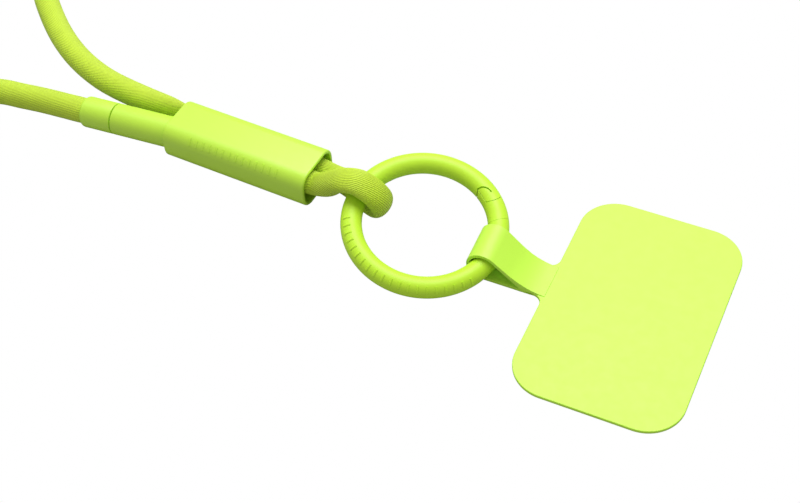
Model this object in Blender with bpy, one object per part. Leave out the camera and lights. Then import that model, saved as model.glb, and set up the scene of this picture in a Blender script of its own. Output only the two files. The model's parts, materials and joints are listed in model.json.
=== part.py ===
"""Phone lanyard: a round textile cord, a slim sleeve that holds its two legs together, a two-part barrel
that joins the cord's ends, a round spring-gate ring, and a thin phone card whose tab folds round the ring.
Metres, +Z up, +X along the lanyard from the cord to the card."""

import math

import bmesh
import bpy
from mathutils import Matrix, Vector

# Driving sizes, metres and degrees. Places are taken from the ring's centre until the last step.
GAP = 0.0003                    # room between pieces that touch
RUNNING = 0.00015               # room between pieces that slide or turn on each other

CORD_DIAMETER = 0.0066
CORD_IN_SLEEVE = 0.0061         # the soft cord is squeezed a little where the sleeve holds it
CORD_IN_BARREL = 0.0058
CORD_IN_MOUTH = (0.0032, 0.0072)  # its width and height where it shares the sleeve's mouth with the barrel

RING_RADIUS = 0.0171            # to the middle of the tube
RING_TUBE = 0.0050
RING_TILT = 10.3
RING_TILT_TOWARDS = 142.0       # the raised side, turned from +X
LOOP_AT = 176.0                 # where the cord goes round the ring
LOOP_HALF_THICKNESS = 0.0021    # the cord flattens as it bends round the tube
LOOP_HALF_WIDTH = 0.0038
LOOP_ROOM = 0.0006
LOOP_SHIFT = 0.0023             # the cord moves along the tube by this each side as it turns

PIN_AT = 55.0                   # the gate's hinge on the ring
GATE_END_AT = 27.5              # it clears the tab as it swings
GATE_SWING = 35.0               # how far it opens, inwards
PIN_DIAMETER = 0.0013
EAR_PROUD = 0.0002              # the ears' round ends stand this far past the tube's half width
SLOT_PROUD = 0.00045            # the slot's round end stands this far past it, for the tongue to turn
SLOT_HEIGHT = 0.0031
TONGUE_PROUD = 0.0003           # the tongue's round end, past the tube's half width
GATE_SPREAD = 82.0              # half the angle that the gate covers, seen from its pin
SPRING_WIRE = 0.00032
SPRING_TURNS = 3
POCKET_RADIUS = 0.0016
POCKET_DEPTH = 0.0017

SLEEVE_LENGTH = 0.0406
SLEEVE_WALL = 0.00085
SLEEVE_ROUND = 0.0037
SLEEVE_TO_LOOP = 0.0137         # its open end, from the middle of the ring's tube
SLEEVE_ASIDE = 0.0034           # its centre line, from the ring's centre
SLEEVE_TRAVEL = 0.0015          # towards the ring
SQUEEZE_PAST = 0.0010           # the cord stays squeezed this far beyond the sleeve's travel

BARREL_DIAMETER = 0.0080
BARREL_LIP = 0.0006             # the rounded rim at each end
BARREL_IN_SLEEVE = 0.0050
BARREL_PLAY = 0.0005            # the sleeve's bore is this much taller than the barrel
BARREL_SIDE_ROOM = 0.0006       # from the bore's near wall, so that the barrel can point to the side
BARREL_TO_CORD = 0.0007
BARREL_SWING = 5.0              # it points a little to the near side, away from the other leg
BARREL_SOCKET_LENGTH = 0.0092
BARREL_PLUG_LENGTH = 0.0218
SPIGOT_DIAMETER = 0.0052
SPIGOT_LENGTH = 0.0048
SPIGOT_BEAD = 0.00012           # the snap bead's rise
BEAD_HALF_LENGTH = 0.0006
SPIGOT_LEAD_IN = 0.0003
CORD_SEAT = 0.0085              # how deep the cord's end goes into the plug half
CORD_SEAT_SOCKET = 0.0028

CARD_LENGTH = 0.0386
CARD_WIDTH = 0.0600
CARD_THICKNESS = 0.0009
CARD_CORNER = 0.0090
CARD_FROM_HINGE = 0.0148
CARD_ASIDE = -0.00055           # the card's middle, from the tab's
CARD_TURN = 3.0
TAB_AT = 0.95                   # where the tab goes round the ring
TAB_WIDTH = 0.0094
TAB_THICKNESS = 0.0008
TAB_FILLET = 0.0024
TAB_LOOP_ROOM = 0.0007          # the fold keeps clear of the curved tube
TAB_BOND_START = 0.0090         # from the hinge: where the two layers of the tab meet
NECK_OVERLAP = 0.0015           # the flat sheet starts this far into the bond
BOND_SLIVER = 0.0001            # keeps the two layers' faces off each other while they are joined
HINGE_INSET = 0.0005            # the hinge line, inside the middle of the tube

COIL_MIDDLE_RADIUS = 0.0336
COIL_TURNS = 5.5
COIL_PITCH = 0.0067
COIL_FROM_SLEEVE = 0.1177
COIL_LIFT = 0.0001
LEG_HEIGHT = CORD_DIAMETER / 2  # the free legs lie on the table

ROUND_STEPS = 48
LIME = (0.46, 0.83, 0.035)
LIME_CORD = (0.42, 0.68, 0.03)
LIME_CARD = (0.60, 0.93, 0.11)
STEEL = (0.56, 0.57, 0.58)

for old in list(bpy.data.objects):
    bpy.data.objects.remove(old)


def finish(name, colour, roughness, metallic=0.0):
    """A plain Principled material."""
    material = bpy.data.materials.new(name)
    material.use_nodes = True
    shader = material.node_tree.nodes["Principled BSDF"]
    shader.inputs["Base Color"].default_value = (*colour, 1.0)
    shader.inputs["Roughness"].default_value = roughness
    shader.inputs["Metallic"].default_value = metallic
    return material


MOULDED = finish("moulded_lime", LIME, 0.4)
PAINTED = finish("painted_lime", LIME, 0.35)
KNITTED = finish("knitted_cord", LIME_CORD, 0.9)
SHEET = finish("card_sheet", LIME_CARD, 0.55)
SPRING_STEEL = finish("spring_steel", STEEL, 0.35, 1.0)


def add_object(name, mesh, material=None, parent=None, location=(0, 0, 0)):
    obj = bpy.data.objects.new(name, mesh)
    bpy.context.scene.collection.objects.link(obj)
    obj.parent = parent
    obj.location = location
    if material is not None:
        mesh.materials.append(material)
    return obj


def add_empty(name, parent=None, location=(0, 0, 0), rotation=(0, 0, 0)):
    empty = add_object(name, None, parent=parent, location=location)
    empty.rotation_euler = rotation
    return empty


def mesh_from(name, bm):
    """Closes a bmesh into a mesh whose faces point outwards, smooth but for its sharp edges."""
    bmesh.ops.recalc_face_normals(bm, faces=bm.faces)
    mesh = bpy.data.meshes.new(name)
    bm.to_mesh(mesh)
    bm.free()
    mesh.shade_smooth()
    mesh.set_sharp_from_angle(angle=math.radians(35))
    return mesh


def plate_mesh(name, outline, low, high):
    """An outline in the XY plane, extruded from low to high."""
    bm = bmesh.new()
    face = bm.faces.new([bm.verts.new((x, y, low)) for x, y in outline])
    grown = bmesh.ops.extrude_face_region(bm, geom=[face])["geom"]
    moved = [item for item in grown if isinstance(item, bmesh.types.BMVert)]
    bmesh.ops.translate(bm, verts=moved, vec=(0, 0, high - low))
    return mesh_from(name, bm)


def turned_mesh(name, profile):
    """A closed outline of (along, radius) turned about +X. Points on the axis are joined."""
    bm = bmesh.new()
    rings = []
    for along, radius in profile:
        if radius < 1e-7:
            rings.append([bm.verts.new((along, 0, 0))])
            continue
        ring = []
        for step in range(ROUND_STEPS):
            turn = 2 * math.pi * step / ROUND_STEPS
            ring.append(bm.verts.new((along, radius * math.cos(turn), radius * math.sin(turn))))
        rings.append(ring)
    for here, there in zip(rings, rings[1:] + rings[:1]):
        for step in range(ROUND_STEPS):
            after = (step + 1) % ROUND_STEPS
            if len(here) > 1 and len(there) > 1:
                bm.faces.new((here[step], here[after], there[after], there[step]))
            elif len(here) > 1:
                bm.faces.new((here[step], here[after], there[0]))
            elif len(there) > 1:
                bm.faces.new((here[0], there[after], there[step]))
    return mesh_from(name, bm)


def cut(target, name, mesh, operation="DIFFERENCE", location=(0, 0, 0), rotation=(0, 0, 0)):
    """A Boolean with a cutter that stays in the target's own axes."""
    cutter = add_object(name, mesh, parent=target, location=location)
    cutter.rotation_euler = rotation
    cutter.hide_render = True
    cutter.display_type = "WIRE"
    step = target.modifiers.new(name, "BOOLEAN")
    step.operation = operation
    step.solver = "EXACT"
    step.object = cutter
    return cutter


def arc(centre_x, centre_y, radius, start, end, steps):
    """Points on an arc, from start to end in degrees."""
    points = []
    for step in range(steps + 1):
        turn = math.radians(start + (end - start) * step / steps)
        points.append((centre_x + radius * math.cos(turn), centre_y + radius * math.sin(turn)))
    return points


def rounded_box(width, height, radius, steps=8):
    """A rounded rectangle about the origin, counter-clockwise."""
    points = []
    corners = ((1, 1, 0), (-1, 1, 90), (-1, -1, 180), (1, -1, 270))
    for side_x, side_y, start in corners:
        centre_x = side_x * (width / 2 - radius)
        centre_y = side_y * (height / 2 - radius)
        points += arc(centre_x, centre_y, radius, start, start + 90, steps)
    return points


def smooth_path(points, steps):
    """Catmull-Rom curve through the points. Every coordinate is smoothed in the same way."""
    padded = [points[0]] + list(points) + [points[-1]]
    route = []
    for index in range(len(points) - 1):
        before, here, there, after = padded[index:index + 4]
        for step in range(steps):
            t = step / steps
            route.append(tuple(
                0.5 * (2 * b + (c - a) * t + (2 * a - 5 * b + 4 * c - d) * t * t
                       + (3 * b - a - 3 * c + d) * t ** 3)
                for a, b, c, d in zip(before, here, there, after)
            ))
    route.append(tuple(points[-1]))
    return route


def spaced_path(points, spacing):
    """The smooth curve through the points, read at even spacing."""
    fine = [Vector(point) for point in smooth_path(points, 24)]
    total = sum((b - a).length for a, b in zip(fine, fine[1:]))
    count = max(2, round(total / spacing))
    picked = [fine[0]]
    walked = 0.0
    for a, b in zip(fine, fine[1:]):
        walked += (b - a).length
        if walked >= len(picked) * total / count and len(picked) < count:
            picked.append(b)
    return picked + [fine[-1]]


def ring_spot(angle, radius=RING_RADIUS):
    """A point in the ring's plane, in the ring's own axes."""
    return Vector((radius * math.cos(math.radians(angle)), radius * math.sin(math.radians(angle)), 0))


# The ring's own axes: its plane is XY, its centre the origin, and angles are counted from +X.
lanyard = add_empty("lanyard")
tilt = math.radians(RING_TILT)
towards = math.radians(RING_TILT_TOWARDS)
ring_up = Vector((-math.sin(tilt) * math.cos(towards), -math.sin(tilt) * math.sin(towards), math.cos(tilt)))
ring_x = (Vector((1, 0, 0)) - ring_up * ring_up.x).normalized()
ring_y = ring_up.cross(ring_x)
ring_turn = Matrix((ring_x, ring_y, ring_up)).transposed()
tab_loop_inner = RING_TUBE / 2 + TAB_LOOP_ROOM
tab_loop_outer = tab_loop_inner + TAB_THICKNESS
tab_slope = ring_y.z / math.hypot(ring_y.x, ring_y.y)   # the fold leans with the tube that it goes round
hinge_height = tab_loop_outer + tab_slope * TAB_WIDTH / 2
ring_drop = (ring_turn @ ring_spot(TAB_AT)).z
ring_centre = Vector((0, 0, hinge_height - ring_drop))  # the tab's fold lies on the table and holds the ring
ring_axes = add_empty("ring_axes", lanyard, ring_centre, ring_turn.to_euler())


def on_ring(angle):
    """The middle of the tube at an angle, in the lanyard's axes."""
    return ring_centre + ring_turn @ ring_spot(angle)


def torus_mesh(name, around=72, across=20):
    bm = bmesh.new()
    rings = []
    for step in range(around):
        turn = 2 * math.pi * step / around
        ring = []
        for side in range(across):
            lean = 2 * math.pi * side / across
            reach = RING_RADIUS + RING_TUBE / 2 * math.cos(lean)
            ring.append(bm.verts.new((reach * math.cos(turn), reach * math.sin(turn),
                                      RING_TUBE / 2 * math.sin(lean))))
        rings.append(ring)
    for here, there in zip(rings, rings[1:] + rings[:1]):
        for side in range(across):
            after = (side + 1) % across
            bm.faces.new((here[side], here[after], there[after], there[side]))
    return mesh_from(name, bm)


pin_spot = ring_spot(PIN_AT)
gate_heading = PIN_AT - 90.0                      # from the pin along the tube towards the gate's free end
gate_reach = 2 * RING_RADIUS * math.sin(math.radians((PIN_AT - GATE_END_AT) / 2))
gate_axes = add_empty("gate_axes", ring_axes, pin_spot, (0, 0, math.radians(gate_heading)))
ear_radius = RING_TUBE / 2 + EAR_PROUD
slot_radius = RING_TUBE / 2 + SLOT_PROUD
tongue_radius = RING_TUBE / 2 + TONGUE_PROUD
clear_height = RING_TUBE                          # cutters stand clear of the tube above and below


def gate_sector(inner, outer):
    """The space that the gate fills and swings through, between two distances from its pin."""
    inmost = -GATE_SPREAD - GATE_SWING
    points = arc(0, 0, outer, inmost, GATE_SPREAD, 48)
    return points + arc(0, 0, inner, GATE_SPREAD, inmost, 28)


def tongue_outline(radius, reach):
    """A round end about the pin and a straight stretch towards the gate."""
    return arc(0, 0, radius, 90, 270, 20) + [(reach, -radius), (reach, radius)]


# Ring frame: a round bar bent to a ring, open where the gate closes it, forked into two ears at the hinge.
ring_frame = add_object("ring_frame", torus_mesh("ring_frame"), PAINTED, ring_axes)
at_pin = {"location": pin_spot, "rotation": (0, 0, math.radians(gate_heading))}
opening_space = gate_sector(ear_radius, gate_reach + RUNNING / 2)
cut(ring_frame, "frame_opening",
    plate_mesh("frame_opening", opening_space, -clear_height, clear_height), **at_pin)
cut(ring_frame, "frame_slot",
    plate_mesh("frame_slot", tongue_outline(slot_radius, ear_radius * 2), -SLOT_HEIGHT / 2, SLOT_HEIGHT / 2),
    **at_pin)
pin_room = arc(0, 0, PIN_DIAMETER / 2 + RUNNING / 2, 0, 352.5, 47)
pin_hole = plate_mesh("pin_hole", pin_room, -clear_height, clear_height)
cut(ring_frame, "frame_pin_hole", pin_hole, **at_pin)

# Gate: the short bar that swings inwards, with a tongue between the ears and a pocket for its spring.
# The ring's whole bar is cut down to the gate's stretch, and the tongue is shaped by the same bar.
gate_bar = torus_mesh("ring_gate")
gate_bar.transform(Matrix.Rotation(-math.radians(gate_heading), 4, "Z") @ Matrix.Translation(-pin_spot))
ring_gate = add_object("ring_gate", gate_bar, PAINTED, gate_axes)
shoulder = ear_radius + RUNNING
free_end = gate_reach - RUNNING / 2
tongue_height = SLOT_HEIGHT - 2 * RUNNING
cut(ring_gate, "gate_keep",
    plate_mesh("gate_keep", arc(0, 0, free_end, -GATE_SPREAD, GATE_SPREAD, 40)
               + arc(0, 0, tongue_radius, 90, 270, 24), -clear_height, clear_height), "INTERSECT")
for side, name in ((1, "upper_ear_room"), (-1, "lower_ear_room")):
    room = arc(0, 0, shoulder, 0, 352.5, 47)
    low = min(side * tongue_height / 2, side * clear_height)
    high = max(side * tongue_height / 2, side * clear_height)
    cut(ring_gate, name, plate_mesh(name, room, low, high))
cut(ring_gate, "gate_pin_hole", pin_hole.copy())
pocket_floor = tongue_height / 2 - POCKET_DEPTH
cut(ring_gate, "spring_pocket",
    plate_mesh("spring_pocket", arc(0, 0, POCKET_RADIUS, 0, 352.5, 47), pocket_floor, clear_height))

# Hinge pin: plain steel, through both ears and the tongue, a little below the tube's surface.
pin_length = RING_TUBE - 2 * GAP
pin_mesh = turned_mesh("gate_hinge_pin", [
    (-pin_length / 2, 0), (-pin_length / 2, PIN_DIAMETER / 2), (pin_length / 2, PIN_DIAMETER / 2),
    (pin_length / 2, 0)])
gate_hinge_pin = add_object("gate_hinge_pin", pin_mesh, SPRING_STEEL, ring_axes, pin_spot)
gate_hinge_pin.rotation_euler = (0, math.radians(90), 0)

# Return spring: a few turns of wire round the pin, in the tongue's pocket.
spring_radius = (PIN_DIAMETER / 2 + POCKET_RADIUS) / 2
spring_rise = POCKET_DEPTH - 2 * RUNNING - SPRING_WIRE
spring_steps = SPRING_TURNS * 14
spring_curve = bpy.data.curves.new("gate_return_spring", "CURVE")
spring_curve.dimensions = "3D"
spring_curve.bevel_depth = SPRING_WIRE / 2
spring_curve.bevel_resolution = 1
spring_curve.use_fill_caps = True
spring_line = spring_curve.splines.new("POLY")
spring_line.points.add(spring_steps)
for step, point in enumerate(spring_line.points):
    turn = 2 * math.pi * SPRING_TURNS * step / spring_steps
    height = pocket_floor + RUNNING + SPRING_WIRE / 2 + spring_rise * step / spring_steps
    point.co = (spring_radius * math.cos(turn), spring_radius * math.sin(turn), height, 1)
add_object("gate_return_spring", spring_curve, SPRING_STEEL, gate_axes)

# Sleeve: a moulded flat tube, open at both ends, that holds the two legs of the cord side by side.
bore_height = BARREL_DIAMETER + BARREL_PLAY
bore_width = BARREL_SIDE_ROOM + BARREL_DIAMETER + BARREL_TO_CORD + CORD_IN_MOUTH[0]
sleeve_height = bore_height + 2 * SLEEVE_WALL
sleeve_width = bore_width + 2 * SLEEVE_WALL
sleeve_right = -RING_RADIUS - SLEEVE_TO_LOOP
sleeve_left = sleeve_right - SLEEVE_LENGTH
sleeve_near_wall = SLEEVE_ASIDE - bore_width / 2
sleeve_far_wall = SLEEVE_ASIDE + bore_width / 2
sleeve_axes = add_empty("sleeve_axes", lanyard, (sleeve_right, SLEEVE_ASIDE, sleeve_height / 2))
along_x = (math.radians(90), 0, math.radians(90))
sleeve = add_object("sleeve", plate_mesh(
    "sleeve", rounded_box(sleeve_width, sleeve_height, SLEEVE_ROUND), -SLEEVE_LENGTH, 0),
    MOULDED, sleeve_axes)
sleeve.rotation_euler = along_x
cut(sleeve, "sleeve_bore", plate_mesh(
    "sleeve_bore", rounded_box(bore_width, bore_height, SLEEVE_ROUND - SLEEVE_WALL),
    -SLEEVE_LENGTH * 1.1, SLEEVE_LENGTH * 0.1))

# Barrel: two moulded cups that snap together end to end and hold the cord's two ends.
# Its inner end lies in the sleeve's mouth, against the near wall, and its outer end rests on the table.
barrel_inner = Vector((
    sleeve_left + BARREL_IN_SLEEVE,
    sleeve_near_wall + BARREL_SIDE_ROOM + BARREL_DIAMETER / 2,
    SLEEVE_WALL + BARREL_DIAMETER / 2 + BARREL_PLAY * 0.7,
))
barrel_length = BARREL_SOCKET_LENGTH + BARREL_PLUG_LENGTH
barrel_drop = barrel_inner.z - BARREL_DIAMETER / 2
barrel_dip = math.asin(barrel_drop / barrel_length)
barrel_axes = add_empty("barrel_axes", lanyard, barrel_inner, (0, -barrel_dip, math.radians(BARREL_SWING)))
barrel_turn = barrel_axes.rotation_euler.to_matrix()


def in_barrel(distance):
    """A point on the barrel's own axis, this far out from its inner end, in the lanyard's axes."""
    return barrel_inner - barrel_turn @ Vector((distance, 0, 0))


def rim(end, inwards):
    """The rounded outer edge at an end of the barrel, from its flat face to its side."""
    points = []
    for turn in (90, 60, 30, 0):
        drop = BARREL_LIP * (1 - math.sin(math.radians(turn)))
        rise = BARREL_LIP * (1 - math.cos(math.radians(turn)))
        points.append((end + inwards * drop, BARREL_DIAMETER / 2 - rise))
    return points


outer = BARREL_DIAMETER / 2
seam = -BARREL_PLUG_LENGTH
cord_bore = CORD_IN_BARREL / 2 + RUNNING
spigot_tip = seam - SPIGOT_LENGTH
bead_at = seam - SPIGOT_LENGTH * 0.62
plug_profile = [(0, cord_bore), *rim(0, -1)]
plug_profile += [
    (seam + GAP / 2, outer),
    (seam + GAP / 2, SPIGOT_DIAMETER / 2),
    (bead_at + BEAD_HALF_LENGTH, SPIGOT_DIAMETER / 2),
    (bead_at, SPIGOT_DIAMETER / 2 + SPIGOT_BEAD),
    (bead_at - BEAD_HALF_LENGTH, SPIGOT_DIAMETER / 2),
    (spigot_tip, SPIGOT_DIAMETER / 2 - SPIGOT_LEAD_IN),
    (spigot_tip, 0),
    (-CORD_SEAT, 0),
    (-CORD_SEAT, cord_bore),
]
add_object("barrel_plug_half", turned_mesh("barrel_plug_half", plug_profile), MOULDED, barrel_axes)
socket_bore = SPIGOT_DIAMETER / 2 + SPIGOT_BEAD + RUNNING
socket_floor = spigot_tip - GAP
socket_end = -barrel_length
cord_stop = socket_end + CORD_SEAT_SOCKET
socket_profile = [
    (seam - GAP / 2, outer),
    (seam - GAP / 2, socket_bore),
    (socket_floor, socket_bore),
    (socket_floor, 0),
    (cord_stop, 0),
    (cord_stop, cord_bore),
    (socket_end, cord_bore),
    *rim(socket_end, 1),
]
add_object("barrel_socket_half", turned_mesh("barrel_socket_half", socket_profile), MOULDED, barrel_axes)


def swept_mesh(name, route, sides=12):
    """A tube along points of (x, y, z, half width across Y, half thickness), with flat ends."""
    bm = bmesh.new()
    places = [Vector(point[:3]) for point in route]
    rings = []
    for index, point in enumerate(route):
        ahead = places[min(index + 1, len(places) - 1)] - places[max(index - 1, 0)]
        up = Vector((0, 1, 0)).cross(ahead).normalized()
        across = ahead.cross(up).normalized()
        ring = []
        for side in range(sides):
            turn = 2 * math.pi * side / sides
            ring.append(bm.verts.new(places[index] + across * point[3] * math.cos(turn)
                                     + up * point[4] * math.sin(turn)))
        rings.append(ring)
    for here, there in zip(rings, rings[1:]):
        for side in range(sides):
            after = (side + 1) % sides
            bm.faces.new((here[side], here[after], there[after], there[side]))
    bm.faces.new(rings[0])
    bm.faces.new(rings[-1])
    return mesh_from(name, bm)


# Cord, captive part: from its end in the barrel, through the sleeve, over the ring, round its tube and back
# through the sleeve to the sleeve's outer end. It is squeezed in the sleeve and flattened round the ring.
cord_round = CORD_DIAMETER / 2
squeezed = CORD_IN_SLEEVE / 2
in_barrel_round = CORD_IN_BARREL / 2
near_y = sleeve_near_wall + squeezed + RUNNING
far_y = sleeve_far_wall - squeezed - RUNNING
floor_z = SLEEVE_WALL + squeezed + RUNNING
roof_z = sleeve_height - SLEEVE_WALL - squeezed - RUNNING
slim, tall = (size / 2 for size in CORD_IN_MOUTH)
slim_y = sleeve_far_wall - slim - RUNNING
middle_z = sleeve_height / 2
squeeze_end = SLEEVE_TRAVEL + SQUEEZE_PAST
loop_middle = on_ring(LOOP_AT)
loop_out = (ring_turn @ ring_spot(LOOP_AT, 1.0)).normalized()
loop_along = (ring_turn @ ring_spot(LOOP_AT + 90, 1.0)).normalized()   # towards the near side
loop_radius = RING_TUBE / 2 + LOOP_ROOM + LOOP_HALF_THICKNESS


def loop_point(lift, shift):
    """A point of the loop, lift degrees from straight out through the ring's hole, up being positive."""
    lean = math.radians(lift)
    spot = (loop_middle - loop_out * loop_radius * math.cos(lean) + loop_along * shift
            + Vector((0, 0, 1)) * loop_radius * math.sin(lean))
    return (*spot, LOOP_HALF_WIDTH, LOOP_HALF_THICKNESS)


def cord_point(x, y, z, half_width=cord_round, half_thickness=cord_round):
    return (x, y, z, half_width, half_thickness)


# The distances along the sleeve, and the small shifts to a side, are chosen by hand for easy bends.
captive = [
    (*in_barrel(CORD_SEAT - RUNNING), in_barrel_round, in_barrel_round),
    (*in_barrel(CORD_SEAT / 2), in_barrel_round, in_barrel_round),
    (*in_barrel(0), in_barrel_round, in_barrel_round),
    (sleeve_left + 0.013, near_y + 0.0003, middle_z, squeezed, squeezed),
    (sleeve_left + 0.022, near_y, middle_z, squeezed, squeezed),
    (sleeve_right - 0.006, near_y, roof_z - 0.0003, squeezed, squeezed),
    (sleeve_right + squeeze_end, near_y + 0.0003, roof_z, squeezed, squeezed),
    cord_point(sleeve_right + 0.0062, loop_middle.y - 0.0012, 0.0096, cord_round, cord_round * 0.85),
    cord_point(sleeve_right + 0.0098, loop_middle.y - 0.0019, 0.0128, cord_round, cord_round * 0.72),
    loop_point(90, LOOP_SHIFT),
    loop_point(60, LOOP_SHIFT * 0.8),
    loop_point(30, LOOP_SHIFT * 0.5),
    loop_point(0, LOOP_SHIFT * 0.1),
    loop_point(-30, -LOOP_SHIFT * 0.3),
    loop_point(-60, -LOOP_SHIFT * 0.7),
    loop_point(-90, -LOOP_SHIFT),
    cord_point(sleeve_right + 0.0078, far_y - 0.0010, 0.0045, cord_round, cord_round * 0.9),
    (sleeve_right + squeeze_end, far_y - 0.0003, floor_z + 0.0003, squeezed, squeezed),
    (sleeve_right - 0.006, far_y, middle_z, squeezed, squeezed),
    (sleeve_left + 0.020, far_y, middle_z, squeezed, squeezed),
    (sleeve_left + 0.0125, far_y + 0.0004, middle_z, squeezed * 0.85, squeezed),
    (sleeve_left + 0.0070, slim_y, middle_z, slim, tall),
    (sleeve_left + GAP, slim_y, middle_z, slim, tall),
]
add_object("cord_ring_loop", swept_mesh("cord_ring_loop", smooth_path(captive, 4)), KNITTED, lanyard)

# Card: one thin sheet that goes between a phone and its case. Its tab folds round the ring, comes back below
# and is bonded to itself. Its axes lie on the fold's own centre line, along which it hinges.
hinge_place = on_ring(TAB_AT) - Vector((HINGE_INSET, 0, 0))
hinge_place.z = hinge_height
card_axes = add_empty("card_axes", lanyard, hinge_place, (0, 0, math.radians(CARD_TURN)))
card_low = -hinge_height
card_edge = CARD_FROM_HINGE
card_far = card_edge + CARD_LENGTH
half_width = CARD_WIDTH / 2
half_tab = TAB_WIDTH / 2
neck_start = TAB_BOND_START + NECK_OVERLAP
card_outline = [(neck_start, -half_tab)]
card_outline += arc(card_edge - TAB_FILLET, -half_tab - TAB_FILLET, TAB_FILLET, 90, 0, 8)
near_side = CARD_ASIDE - half_width + CARD_CORNER
far_side = CARD_ASIDE + half_width - CARD_CORNER
card_outline += arc(card_edge + CARD_CORNER, near_side, CARD_CORNER, 180, 270, 14)
card_outline += arc(card_far - CARD_CORNER, near_side, CARD_CORNER, 270, 360, 14)
card_outline += arc(card_far - CARD_CORNER, far_side, CARD_CORNER, 0, 90, 14)
card_outline += arc(card_edge + CARD_CORNER, far_side, CARD_CORNER, 90, 180, 14)
card_outline += arc(card_edge - TAB_FILLET, half_tab + TAB_FILLET, TAB_FILLET, 0, -90, 8)
card_outline += [(neck_start, half_tab)]
card_sheet = plate_mesh("card", card_outline, card_low, card_low + CARD_THICKNESS)
card = add_object("card", card_sheet, SHEET, card_axes)


def fold_outline(radius, upper_end, lower_end):
    """The side view of the fold: round the tube, with straight layers that leave it for two given points."""
    upper_turn = math.atan2(upper_end[1], upper_end[0]) + math.acos(radius / math.hypot(*upper_end))
    lower_turn = math.atan2(lower_end[1], lower_end[0]) - math.acos(radius / math.hypot(*lower_end))
    return arc(0, 0, radius, math.degrees(upper_turn), math.degrees(lower_turn) + 360, 28)


def fold_mesh(name, outline, half_across, columns=4):
    """The fold's side view drawn across the tab, leaning with the tube at the fold and level at the bond."""
    bm = bmesh.new()
    rows = []
    for column in range(columns + 1):
        y = half_across * (2 * column / columns - 1)
        row = []
        for x, z in outline:
            lean = min(1.0, max(0.0, (TAB_BOND_START - x) / (TAB_BOND_START - 0.001)))
            row.append(bm.verts.new((x, y, z + tab_slope * y * lean)))
        rows.append(row)
    for here, there in zip(rows, rows[1:]):
        for index in range(len(outline)):
            after = (index + 1) % len(outline)
            bm.faces.new((here[index], here[after], there[after], there[index]))
    bm.faces.new(rows[0])
    bm.faces.new(rows[-1])
    return mesh_from(name, bm)


double_top = card_low + 2 * TAB_THICKNESS
wedge = card_low + TAB_THICKNESS
upper_meet = (TAB_BOND_START + TAB_THICKNESS * 0.8, double_top)
lower_meet = (TAB_BOND_START, card_low)
strap_end = card_edge - GAP
outer_fold = fold_outline(tab_loop_outer, upper_meet, lower_meet)
outer_fold += [lower_meet, (strap_end, card_low + BOND_SLIVER), (strap_end, double_top), upper_meet]
wedge_lips = [(TAB_BOND_START, wedge), (TAB_BOND_START, wedge + BOND_SLIVER)]
inner_fold = fold_outline(tab_loop_inner, wedge_lips[1], wedge_lips[0]) + wedge_lips
cut(card, "tab_fold", fold_mesh("tab_fold", outer_fold, half_tab), "UNION")
cut(card, "tab_opening", fold_mesh("tab_opening", inner_fold, half_tab * 1.2), "DIFFERENCE")

# Cord, free part. It leaves the sleeve beside the barrel, runs along the table, lies in a neat coil and comes
# back into the barrel's outer end. The legs' points are chosen by hand, and the coil is worked out.
coil_spread = COIL_PITCH * COIL_TURNS / 4


def leg_point(out, y, z=LEG_HEIGHT):
    """A point of a free leg, this far out from the sleeve's outer end."""
    return (sleeve_left - out, y, z)


upper_leg_route = [
    leg_point(GAP, slim_y + 0.0002, middle_z),
    leg_point(0.0061, 0.0089, 0.0045),
    leg_point(0.0136, 0.0096, 0.0036),
    leg_point(0.0211, 0.0104),
    leg_point(0.0266, 0.0111),
    leg_point(0.0316, 0.0122),
    leg_point(0.0376, 0.0142),
    leg_point(0.0438, 0.0170),
    leg_point(0.0506, 0.0210),
    leg_point(0.0571, 0.0257),
    leg_point(0.0633, 0.0308),
    leg_point(0.0701, 0.0368),
    leg_point(0.0772, 0.0410),
    leg_point(0.0852, 0.0430),
    leg_point(0.0929, 0.0433),
]
lower_leg_route = [
    leg_point(0.0921, -0.0430),
    leg_point(0.0871, -0.0410),
    leg_point(0.0816, -0.0362),
    leg_point(0.0756, -0.0270),
    leg_point(0.0706, -0.0175),
    leg_point(0.0621, -0.0088),
    leg_point(0.0522, -0.0043),
    leg_point(0.0454, -0.0030),
    leg_point(0.0389, -0.0020, 0.0034),
    tuple(in_barrel(barrel_length + 0.0060)),
    tuple(in_barrel(barrel_length + GAP)),
]


def cord_tube(name, route):
    curve = bpy.data.curves.new(name, "CURVE")
    curve.dimensions = "3D"
    curve.bevel_depth = CORD_DIAMETER / 2
    curve.bevel_resolution = 2
    curve.use_fill_caps = True
    line = curve.splines.new("POLY")
    places = spaced_path(route, 1.1 * CORD_DIAMETER)
    line.points.add(len(places) - 1)
    for point, place in zip(line.points, places):
        point.co = (*place, 1)
    add_object(name, curve, KNITTED, lanyard)
    return line


upper_line = cord_tube("cord_upper_leg", upper_leg_route)
for index, point in enumerate(upper_line.points):
    point.radius = min(1.0, 0.5 + 0.17 * index)   # it opens out from its squeeze beside the barrel
cord_tube("cord_lower_leg", lower_leg_route)

coil_height = 2 * (CORD_DIAMETER + COIL_LIFT)
coil_bar = rounded_box(2 * coil_spread + CORD_DIAMETER, coil_height, CORD_DIAMETER / 2, 4)
coil_bm = bmesh.new()
coil_rings = []
for step in range(ROUND_STEPS):
    turn = 2 * math.pi * step / ROUND_STEPS
    ring = []
    for out, up in coil_bar:
        reach = COIL_MIDDLE_RADIUS + out
        ring.append(coil_bm.verts.new((reach * math.cos(turn), reach * math.sin(turn), up)))
    coil_rings.append(ring)
for here, there in zip(coil_rings, coil_rings[1:] + coil_rings[:1]):
    for side in range(len(coil_bar)):
        after = (side + 1) % len(coil_bar)
        coil_bm.faces.new((here[side], here[after], there[after], there[side]))
add_object("cord_coil", mesh_from("cord_coil", coil_bm), KNITTED, lanyard,
           (sleeve_left - COIL_FROM_SLEEVE, 0, CORD_DIAMETER + COIL_LIFT))

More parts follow.
